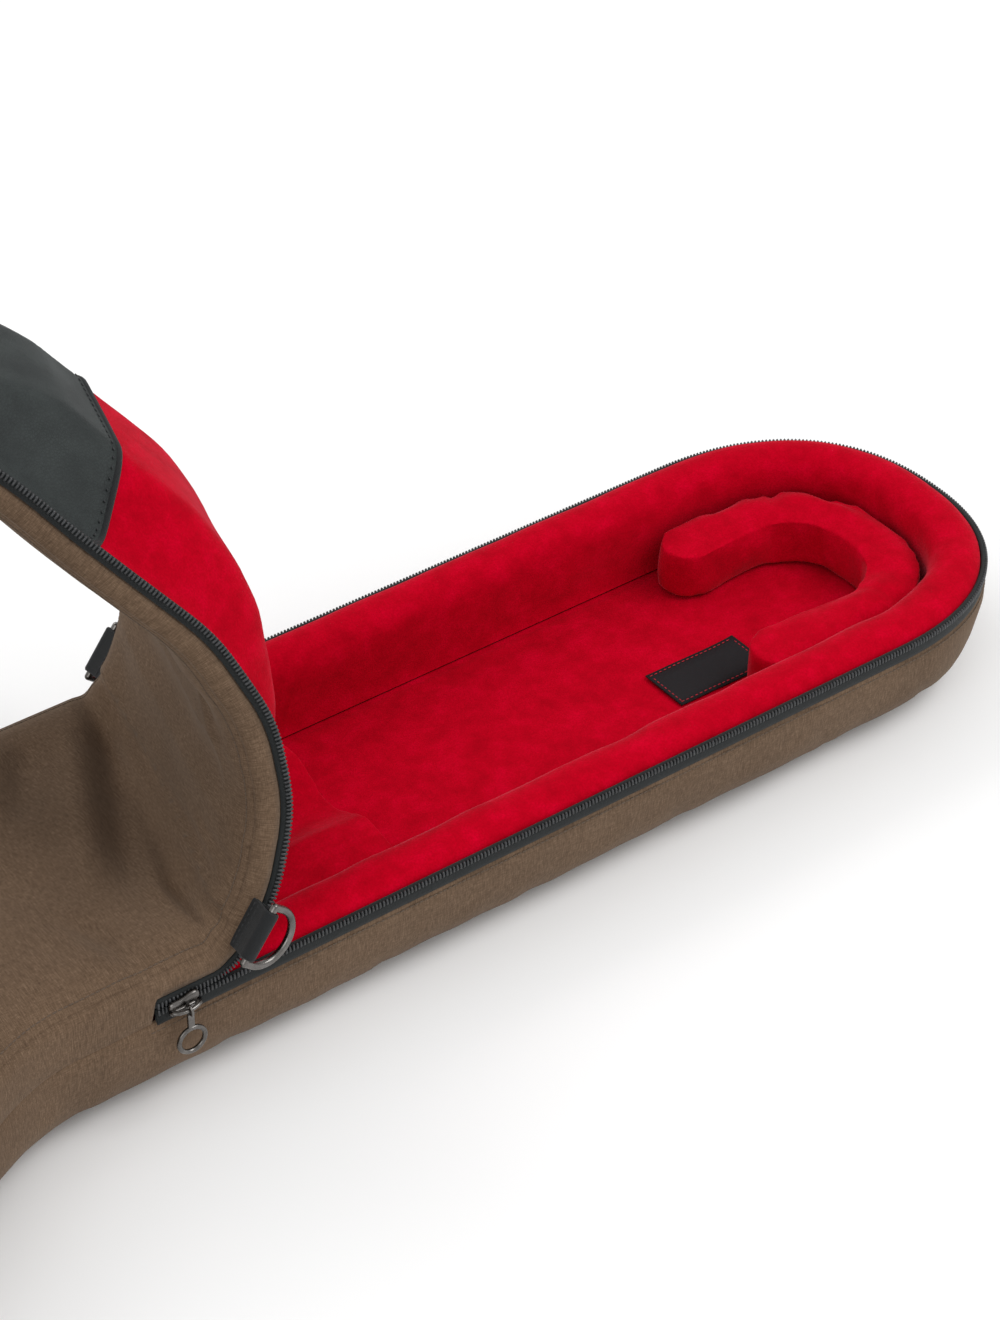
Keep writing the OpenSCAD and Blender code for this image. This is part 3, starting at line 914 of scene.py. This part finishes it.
def front_pocket():
    """Bellows pocket on the front, with a corded edge and its zipper across the head side."""
    low, high = box_of("pocket")
    piece = inflated("front_pocket_fabric", "pocket", FABRIC, 1.5, 6.0, 5.0, 3.0)
    middle, half = (low + high) / 2, (high - low) / 2
    zip_low, zip_high = box_of("pocket_zipper")
    zip_x = (zip_low[0] + zip_high[0]) / 2

    def soften(p):
        top = smooth((p[:, 2] - high[2] + 4) / 4)
        groove = 1.2 * np.exp(-((np.abs(p[:, 0] - zip_x) - 13) / 2.5) ** 2) * top
        return groove + 0.9 * ripple(p[:, 0], p[:, 1], 80, 35) * smooth((p[:, 2] - low[2] - 6) / 8)

    dented(piece, soften)
    fitted(piece, "bag", ["pocket"])

    corner = 27
    arcs = []
    for sx, sy, first in ((1, 1, 0), (-1, 1, 90), (-1, -1, 180), (1, -1, 270)):
        centre = middle[:2] + np.array([sx, sy]) * (half[:2] - corner - 1.5)
        turn = np.radians(np.arange(first, first + 91, 9))
        arcs += [centre + corner * np.array([math.cos(a), math.sin(a)]) for a in turn]
    loop = even_points(np.array(arcs + arcs[:1]), 260)[:-1]
    path = np.column_stack([loop, np.full(len(loop), high[2] - 3.2)])
    cord = make_mesh("front_pocket_cord", *sweep(path, circle_section(1.9), closed=True), FABRIC)
    fitted(cord, "bag")

    y = np.linspace(zip_low[1], zip_high[1], 60)
    strips = []
    for side in (-1, 1):
        path = np.column_stack([0 * y + zip_x + side * 6.6, y, high[2] + 2.0 + 0.2 * np.sin(y / 9)])
        strips.append(sweep(path, strip_section(11.6, 1.0)))
    tape = make_mesh("pocket_zipper_tape", *joined(*strips), TAPE)
    fitted(tape, "bag", ["pocket_zipper"])
    spots = np.arange(zip_low[1] + 3, zip_high[1] - 3, 2.0)
    places = np.column_stack([0 * spots + zip_x, spots, 0 * spots + high[2] + 2.6])
    bars = [beads(places + [side * 1.2, 0.5 * side, 0], np.tile([1.0, 0, 0], (len(spots), 1)),
                  np.tile([0, 1.0, 0], (len(spots), 1)), (3.0, *TOOTH[1:])) for side in (-1, 1)]
    teeth = make_mesh("pocket_zipper_teeth", *joined(*bars), TEETH)
    fitted(teeth, "bag")


# ---------- panel, label and webbing ----------

def rigid(points, count):
    """Carries points of the flat lid through its first count folds, without bending them."""
    v, u, h = points @ AXIS, points @ ACROSS - FIRST, points[:, 2] - ZIP_Z
    return to_row(*carried(u, h, count), v)


def stitches(places, along, across, size=(2.6, 0.5, 0.35)):
    """Short threads lying at places, along a direction."""
    along, across = (np.broadcast_to(np.array(d, float), np.shape(places)) for d in (along, across))
    return beads(np.asarray(places, float), along, across, size)


def panel_outline():
    """The wear panel's edge on the flat lid, from its rear edge's middle by the far side."""
    rear_at, wide, corner_round, end, head_round, bow = 216, 80, 26, HEAD_X - 26, 80, 0.87
    rear = np.array([(rear_at + FIRST) / AXIS[1], 0.0])
    halves = []
    for side in (1, -1):
        corner = np.array([(rear_at + FIRST + side * wide * AXIS[0]) / AXIS[1], side * wide])
        back = (rear - corner) * corner_round / np.linalg.norm(rear - corner)
        turn = [corner + back * (1 - t) ** 2 + np.array([corner_round, 0]) * t ** 2
                for t in np.linspace(0, 1, 9)]
        head = [(end - head_round + head_round * math.cos(a) ** bow, side * wide * math.sin(a) ** bow)
                for a in np.radians(np.arange(90, 0, -6))]
        halves.append(np.array([rear] + turn + head))
    return even_points(np.concatenate([halves[0], [(end, 0)], halves[1][::-1]]), 230)[:-1]


def wear_panel():
    """Leather-like panel sewn under the lid's head end, with a piped edge."""
    edge = panel_outline()
    spine = np.clip(edge[:, 0], 420, 550)
    inward = unit(np.column_stack([spine, 0 * spine]) - edge)
    rings = []
    for step, drop in ((0, -0.3), (0, 0.9), (0.6, 1.4), (2, 1.6), (4, 1.2), (7, 1.5)):
        flat = edge + inward * step
        rings.append(np.column_stack([flat, lining_height(*flat.T) - drop]))
    rings = filled(rings, spine, lambda x, y: lining_height(x, y) - 1.5 - 0.3 * ripple(x, y, 60, 41), 14)
    points, faces = weld(*loft(rings))
    panel = make_mesh("wear_panel_leather", bent(points), faces, LEATHER, points)
    panel.data.flip_normals()
    path = np.column_stack([edge, lining_height(*edge.T) - 1.0])
    points, faces = sweep(path, circle_section(1.7, 8), closed=True)
    piping = make_mesh("wear_panel_piping", bent(points), faces, WEBBING, points)
    flat = even_points(np.concatenate([edge, edge[:1]]), 320)[:-1]
    inset = flat + 4.2 * np.column_stack([np.gradient(flat[:, 1]), -np.gradient(flat[:, 0])]) / 2.7
    along = np.column_stack([tangents(inset), np.zeros(len(inset))])
    places = np.column_stack([inset, lining_height(*inset.T) - 1.5])
    points, faces = stitches(places[::2], along[::2], np.cross(UP, along)[::2])
    seam = make_mesh("wear_panel_stitches", bent(points), faces, BLACK_THREAD, points)
    for piece in (panel, piping, seam):
        blended(piece, len(AT) - 1)
    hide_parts("wear_panel_rear", "wear_panel_head")


def floor_label():
    """Blank satin label lying on the floor plush, sewn round its edge."""
    low, high = box_of("floor_label")
    middle, size = (low + high) / 2, high - low
    x = np.linspace(low[0], high[0], 25)
    z = low[2] + 0.9 + 0.25 * np.sin((x - low[0]) / 9) + 0.5 * np.abs((x - middle[0]) / size[0] * 2) ** 6
    path = np.column_stack([x, 0 * x + middle[1], z])
    shape = [(-1, -0.2), (-0.5, -0.3), (0, -0.35), (0.5, -0.3), (1, -0.2), (1, 0.2), (0.5, 0.35), (0, 0.4),
             (-0.5, 0.35), (-1, 0.2)]
    section = [(share * size[1] / 2, t) for share, t in shape]
    label = make_mesh("floor_label_satin", *sweep(path, section), LABEL)
    rows = []
    for side in (-1, 1):
        spots = np.arange(low[0] + 2.5, high[0] - 2, 3)
        places = np.column_stack([spots, 0 * spots + middle[1] + side * (size[1] / 2 - 2),
                                  np.interp(spots, x, z) + 0.4])
        rows.append(stitches(places, (1, 0, 0), (0, 1, 0), (1.8, 0.3, 0.25)))
        spots = np.arange(low[1] + 3.5, high[1] - 3, 3)
        end = middle[0] + side * (size[0] / 2 - 2)
        places = np.column_stack([0 * spots + end, spots, 0 * spots + np.interp(end, x, z) + 0.45])
        rows.append(stitches(places, (0, 1, 0), (1, 0, 0), (1.8, 0.3, 0.25)))
    seam = make_mesh("floor_label_stitches", *joined(*rows), RED_THREAD)
    for piece in (label, seam):
        fitted(piece, "bag")
    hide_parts("floor_label")


def ring_tab(name, body, x, side, z, turns, width=24):
    """A doubled strip of webbing from a seam round a D-ring's bar, with two rows of stitches."""
    reach, bend = NECK_HALF + 15, 2.9
    turn = np.radians(np.arange(90, -91, -15))
    arc = [(reach + bend * math.cos(a), z + bend * math.sin(a)) for a in turn]
    upper = [(96.5, z + 1.4), (99.5, z + 1.3), (103, z + 1.1), (107.5, z + 1.8)]
    lower = [(107.5, z - 1.8), (103, z - 0.6), (99.5, z - 0.3), (96.5, z - 0.2)]
    path = even_points(np.array([(x, side * y, h) for y, h in upper + arc + lower]), 60)
    section = [(t, w) for w, t in strip_section(width, 1.5)]
    points, faces = sweep(path, section, up=(1.0, 0.0, 0.0))
    across = x + np.arange(-width / 2 + 2.4, width / 2 - 2, 2.8)
    rows = [stitches(np.column_stack([across, 0 * across + side * y, 0 * across + z + h]), (1, 0, 0),
                     (0, 1, 0), (2.0, 0.42, 0.35)) for y, h in ((101, 2.0), (104.5, 2.05))]
    sewn, sewn_faces = joined(*rows)
    strap = make_mesh(f"{name}_webbing", rigid(points, turns), faces, WEBBING, points)
    seam = make_mesh(f"{name}_stitches", rigid(sewn, turns), sewn_faces, BLACK_THREAD, sewn)
    for piece in (strap, seam):
        fitted(piece, body)
    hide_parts(name)


def slider(name, body, origin, ahead, across, out, wide_end):
    """A zipper slider: a shaped plate with rolled flanks, and the arch that holds its pull."""
    half = [(-7.6, 2.2), (-7.2, 3.3), (-5.6, 3.9), (-2.2, 4.0), (1.2, 4.7), (4.0, 5.5), (6.4, 5.4),
            (7.7, 4.3), (7.9, 2.4), (7.1, 0.9)]
    shape = np.array([(wide_end * a, b) for a, b in half] + [(wide_end * a, -b) for a, b in half[::-1]])
    rings = [np.column_stack([shape * grow, np.full(len(shape), z)]) for grow, z in
             ((0.9, -0.7), (1.0, -0.4), (1.03, 0.6), (1.0, 1.5), (0.93, 2.0), (0.8, 2.3), (0.4, 2.5))]
    points, faces = loft(rings)
    faces += caps(len(shape), len(points))
    t = np.linspace(0, 1, 29)
    height = 1.2 + 4.6 * np.sin(np.pi * t) ** 0.35
    arch_path = np.column_stack([-6.8 + 13.6 * t, 0 * t, height])

    def arch_section(share):
        widen = 1.0 + 0.9 * abs(2 * share - 1) ** 3
        return [(a * widen, b * 0.9) for a, b in circle_section(1.0, 10)]

    arch = sweep(arch_path, arch_section, up=(0.0, 1.0, 0.0))
    rim = [(-6.4 * wide_end, 0, 2.4), (-2 * wide_end, 0, 2.75), (5 * wide_end, 0, 2.4)]
    ridge = sweep(even_points(np.array(rim, float), 12), lambda share: circle_section(0.9, 8))
    local, faces = joined((points, faces), arch, ridge)
    axes = np.array([ahead, across, out], float)
    piece = make_mesh(f"{name}_body", local @ axes + np.array(origin, float), faces, METAL)
    fitted(piece, body, [name])


def handle():
    """Carry handle: webbing from two stitched patches into a padded grip."""
    low, high = box_of("handle_grip")
    grip_y, grip_z, radius = (low[1] + high[1]) / 2, (low[2] + high[2]) / 2, (high[2] - low[2]) / 2
    middle = (low[0] + high[0]) / 2
    patch_low, patch_high = box_of("handle_patches")
    foot_z = (patch_low[2] + patch_high[2]) / 2 + 5
    wall_y = patch_high[1]
    bands = []
    for side in (-1, 1):
        foot, end = middle + side * 80, middle + side * 44
        path = np.array([(foot + side * 2, wall_y + 1.2, foot_z - 9), (foot + side, wall_y + 1.4, foot_z - 2),
                         (foot, wall_y + 6, foot_z + 2), (foot - side * 6, wall_y + 17, foot_z - 1),
                         (foot - side * 16, wall_y + 31, foot_z - 6),
                         (foot - side * 27, grip_y - 1, foot_z - 9), (end, grip_y, grip_z)])
        steps = np.linspace(0, 1, len(path))
        fine = np.linspace(0, 1, 41)
        curve = np.stack([np.interp(fine, steps, column) for column in path.T], -1)
        for _ in range(6):
            curve[1:-1] = (curve[:-2] + 2 * curve[1:-1] + curve[2:]) / 4
        rings = []
        ahead = unit(np.gradient(curve, axis=0))
        for k, share in enumerate(fine):
            turn = smooth((share - 0.35) / 0.6)
            width = np.array([1.0, 0, 0]) * (1 - turn) + np.array([0, 0.15, side * 1.0]) * turn
            width -= ahead[k] * (width @ ahead[k])
            width /= np.linalg.norm(width)
            thick = np.cross(ahead[k], width)
            rings.append(np.array([curve[k] + width * a + thick * b
                                   for a, b in strip_section(25 - 9 * turn, 2.4)]))
        points, faces = loft(rings)
        bands.append((points, faces + caps(len(rings[0]), len(points))))
    strap = make_mesh("handle_webbing", *joined(*bands), WEBBING)
    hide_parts("handle_strap")

    x = np.linspace(low[0], high[0], 61)
    share = np.abs(x - middle) / (high[0] - low[0]) * 2
    puff = 1 + 0.05 * np.cos(share * math.pi * 3) - 0.16 * np.clip((share - 0.86) / 0.14, 0, 1) ** 2
    path = np.column_stack([x, 0 * x + grip_y, grip_z - 1.0 * (1 - share ** 2)])
    around = np.radians(np.arange(0, 360, 15))

    def grip_section(at):
        r = radius * float(np.interp(at, np.linspace(0, 1, 61), puff)) * 0.96
        seam = [1 - 0.10 * math.exp(-((math.degrees(a) - 270) / 10) ** 2) for a in around]
        return [(r * g * math.cos(a), r * g * math.sin(a) * 0.94) for g, a in zip(seam, around)]

    grip = make_mesh("handle_grip_padding", *sweep(path, grip_section), GRIP)
    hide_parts("handle_grip")
    bound = []
    for end in (-1, 1):
        spin = np.radians(np.arange(0, 360, 12))
        loop = np.column_stack([0 * spin + middle + end * ((high[0] - low[0]) / 2 - 2.2),
                                grip_y + radius * 0.93 * np.cos(spin), grip_z + radius * 0.88 * np.sin(spin)])
        bound.append(sweep(loop, strip_section(1.8, 4.4), up=(1.0, 0.0, 0.0), closed=True))
    binding = make_mesh("handle_grip_binding", *joined(*bound), WEBBING)
    for piece, material_slot in ((strap, "webbing"), (grip, "grip"), (binding, "webbing")):
        fitted(piece, "handle")

    patches, threads = [], []
    for side in (-1, 1):
        centre = middle + side * 80
        path = np.array([(centre + a, wall_y - 0.9 - 0.2 * abs(a / 18) ** 4, foot_z - 5)
                         for a in np.linspace(-18, 18, 13)])
        patches.append(sweep(path, [(b, a) for a, b in strip_section(24, 2.0)]))
        corners = [(-15, -9), (15, -9), (15, 9), (-15, 9), (-15, -9), (15, 9), (15, -9), (-15, 9)]
        run = even_points(np.array(corners, float), 74)
        step = unit(np.gradient(run, axis=0))
        places = np.column_stack([run[:, 0] + centre, 0 * run[:, 0] + wall_y + 0.15, run[:, 1] + foot_z - 5])
        along = np.column_stack([step[:, 0], 0 * step[:, 0], step[:, 1]])
        threads.append(stitches(places, along, np.cross(along, (0, 1.0, 0)), (1.9, 0.35, 0.3)))
    patch = make_mesh("handle_patch_webbing", *joined(*patches), WEBBING)
    seam = make_mesh("handle_patch_stitches", *joined(*threads), BLACK_THREAD)
    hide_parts("handle_patches")
    for piece in (patch, seam):
        fitted(piece, "bag")


def stowed_straps():
    """The two shoulder straps, flat in their sleeve between the back panel and the floor."""
    for name in ("strap_left", "strap_right"):
        low, high = box_of(name)
        middle, half = (low + high) / 2, (high - low) / 2
        x = np.linspace(-1, 1, 85)
        rings = []
        for share in x:
            end = (1 - abs(share) ** 8) ** 0.3
            quilt = 1 - 0.22 * math.exp(-((((share * half[0]) % 35) - 17.5) / 2.2) ** 2)
            ring = []
            for a in np.radians(np.arange(0, 360, 20)):
                c, s = math.cos(a), math.sin(a)
                across, up = math.copysign(abs(c) ** 0.35, c), math.copysign(abs(s) ** 0.7, s)
                ring.append(middle + half * [share, end * across, 0.94 * end * quilt * up])
            rings.append(np.array(ring))
        piece = make_mesh(f"{name}_padding", *loft(rings), GRIP)
        fitted(piece, "bag", [name])


def topstitching():
    """Rows of thread along the lid's welt seam and along the tray's zipper."""
    base, normal = outline(1100)
    flat = base - 6.4 * normal
    along = np.column_stack([tangents(base), np.zeros(len(base))])
    places = np.column_stack([flat, top_height(*flat.T) + 0.1])
    tilt = unit(np.column_stack([normal, np.full(len(normal), -0.6)]))
    points, faces = stitches(places, along, tilt, (2.4, 0.35, 0.3))
    lid_layer("topstitch", points, faces, TAN_THREAD, None, "front_topstitch", (), "outer_fabric")
    keep = base[:, 0] > ZIP_START - 4
    places = np.column_stack([base + 1.15 * normal, np.full(len(base), 50.2)])[keep]
    points, faces = stitches(places, along[keep], -UP, (2.4, 0.35, 0.35))
    seam = make_mesh("tray_topstitch", points, faces, TAN_THREAD)
    fitted(seam, "bag")


def hardware():
    """Finishes of the rings and pulls, and the slider bodies."""
    for node in ("near_ring", "forward_ring", "rear_ring", "near_pull", "far_pull", "pocket_pull"):
        paint(node, METAL)
    for name, side in (("near_slider", -1), ("far_slider", 1)):
        low, high = box_of(name)
        origin = ((low[0] + high[0]) / 2, side * (NECK_HALF + 2.2), ZIP_Z - 1.6)
        slider(name, name, origin, (-side, 0, 0), (0, 0, 1), (0, side, 0), -side)
    low, high = box_of("pocket_slider")
    origin = (*(low + high)[:2] / 2, low[2])
    slider("pocket_slider", "pocket_slider", origin, (0, 1, 0), (-1, 0, 0), (0, 0, 1), 1)
    ahead, above = 21, 10                 # the lid's tabs, past the first fold and over the zipper
    for name, side in (("near_tab", -1), ("forward_tab", 1)):
        x = (FIRST + ahead + side * NECK_HALF * AXIS[0]) / AXIS[1]
        ring_tab(name, "lid_1", x, side, ZIP_Z + above, 1)
    low, high = box_of("rear_tab")
    ring_tab("rear_tab", "bag", (low[0] + high[0]) / 2, 1, 56, 0)


# ---------- everything in order ----------

def set_camera():
    """The viewpoint: from the near side, 38 degrees above the floor, aimed at the opened tray."""
    azimuth, elevation, distance = math.radians(-36.5), math.radians(38), 1.75
    target = Vector((0.357, 0.016, 0.060))
    level = math.cos(elevation)
    back = Vector((math.sin(azimuth) * level, -math.cos(azimuth) * level, math.sin(elevation)))
    data = bpy.data.cameras.new("camera")
    data.lens, data.sensor_width = 94.9, 36
    data.clip_end = 20
    camera = placed("camera", data)
    camera.location = target + back * distance
    camera.rotation_euler = (-back).to_track_quat("-Z", "Y").to_euler()
    bpy.context.scene.camera = camera


def add_light(name, place, target, size, power):
    data = bpy.data.lights.new(name, "AREA")
    data.size, data.energy = size, power
    light = placed(name, data)
    light.location = place
    light.rotation_euler = (Vector(target) - Vector(place)).to_track_quat("-Z", "Y").to_euler()


def set_studio():
    middle = (0.2, 0, 0.1)
    add_light("key", (1.6, -1.2, 2.2), middle, 1.6, 34)
    add_light("fill", (-2.0, -1.4, 1.6), middle, 2.0, 18)
    add_light("back", (-0.2, 2.2, 2.0), middle, 1.8, 22)
    world = bpy.data.worlds.new("studio")
    world.use_nodes = True
    background = world.node_tree.nodes["Background"].inputs
    background["Color"].default_value = (1, 1, 1, 1)
    background["Strength"].default_value = 0.75
    bpy.context.scene.world = world
    bpy.context.scene.view_settings.view_transform = "Standard"
    mesh = bpy.data.meshes.new("floor")
    reach = 30
    corners = [(-reach, -reach, 0), (reach, -reach, 0), (reach, reach, 0), (-reach, reach, 0)]
    mesh.from_pydata(corners, [], [(0, 1, 2, 3)])
    n = Nodes("floor", False)
    n.colour(n.ramp(n.noise(3), [(0.3, 0.86), (0.7, 0.88)]))
    n.set(Roughness=0.9, Specular_IOR_Level=0.1)
    mesh.materials.append(n.material)
    floor = placed("floor", mesh)
    floor.location.z = -0.0005


def paint(node, material):
    """Gives a carried-over CAD node its finished material."""
    frame["nodes"][node].data.materials.clear()
    frame["nodes"][node].data.materials.append(material)


set_camera()
set_studio()
tray_side()
tray_back()
tray_zipper()
tray_lining()
tray_floor()
lid_cover()
lid_lining()
lid_zipper()
topstitching()
wear_panel()
floor_label()
hardware()
handle()
stowed_straps()
bolster()
cradle()
front_pocket()
